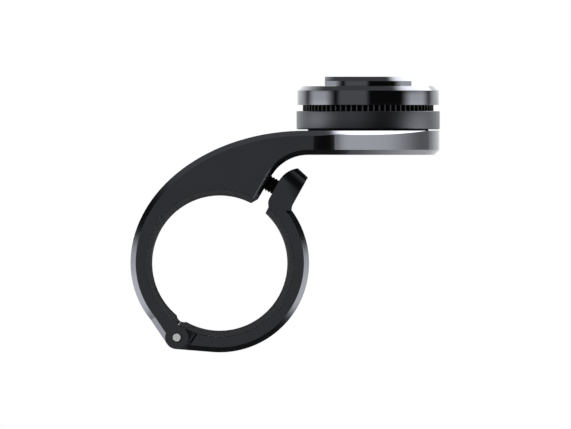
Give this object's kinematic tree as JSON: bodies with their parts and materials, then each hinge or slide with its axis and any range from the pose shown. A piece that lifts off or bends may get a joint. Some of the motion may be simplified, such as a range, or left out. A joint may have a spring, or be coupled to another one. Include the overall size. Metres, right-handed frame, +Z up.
{
  "type": "bicycle phone mount",
  "caption": "Out-front handlebar phone mount with a hinged bar clamp, a swept arm and a sprung twist-lock head.",
  "frame": {"origin": "centre of the handlebar bore, halfway along the clamp", "axes": "+X forward to the head, +Y along the handlebar towards the stem, +Z up"},
  "size_m": [0.0728, 0.0532, 0.0649],
  "materials": {
    "anodised_aluminium": "satin black anodised",
    "liner_resin": "fine matte moulded",
    "steel": "plain turned steel",
    "black_steel": "black oxide",
    "acetal": "natural acetal",
    "bronze": "sintered bronze",
    "seal_rubber": "matte rubber",
    "blasted_aluminium": "bead-blasted black anodised",
    "hub_nylon": "dull black nylon with polished tooth crests",
    "collar_gloss": "bright black anodised, turned"
  },
  "bodies": {
    "mount": {"arm": "anodised_aluminium", "upper_bar_liner": "liner_resin", "clamp_insert": "steel", "hinge_pin": "steel", "hinge_washers": "acetal", "seat_washer": "seal_rubber", "base_ring": "blasted_aluminium", "tooth_hub": "hub_nylon", "bayonet_boss": "collar_gloss", "collar_springs": "steel", "guide_pins": "steel", "core_screws": "black_steel", "head_screw": "black_steel", "head_screw_washer": "steel", "head_insert": "steel"},
    "jaw": {"lower_jaw": "anodised_aluminium", "lower_bar_liner": "liner_resin", "hinge_bush": "bronze", "screw_retainer": "acetal"},
    "washer": {"screw_washer": "black_steel"},
    "screw": {"clamp_screw": "black_steel"},
    "collar": {"lock_collar": "collar_gloss", "collar_seal": "seal_rubber", "spring_plate": "steel"}
  },
  "joints": [
    {"name": "jaw_swing", "type": "hinge", "parent": "mount", "child": "jaw", "pos_m": [-0.01015, 0, -0.01753], "axis": [0, 1, 0], "range_deg": [-1.5, 100]},
    {"name": "screw_travel", "type": "slide", "parent": "jaw", "child": "washer", "axis": [0.878, 0, -0.4787], "range_m": [0, 0.0042]},
    {"name": "screw_turn", "type": "hinge", "parent": "washer", "child": "screw", "pos_m": [0.01501, 0, 0.01688], "axis": [0.878, 0, -0.4787], "range_deg": [0, 2160]},
    {"name": "collar_press", "type": "slide", "parent": "mount", "child": "collar", "axis": [0, 0, -1], "range_m": [0, 0.0013], "stiffness_N_per_m": 4000, "springref_m": -0.001, "deforming": ["collar_springs"]}
  ],
  "couplings": [
    {"joint": "screw_turn", "follows": "screw_travel", "rad_per_m": 8976}
  ]
}
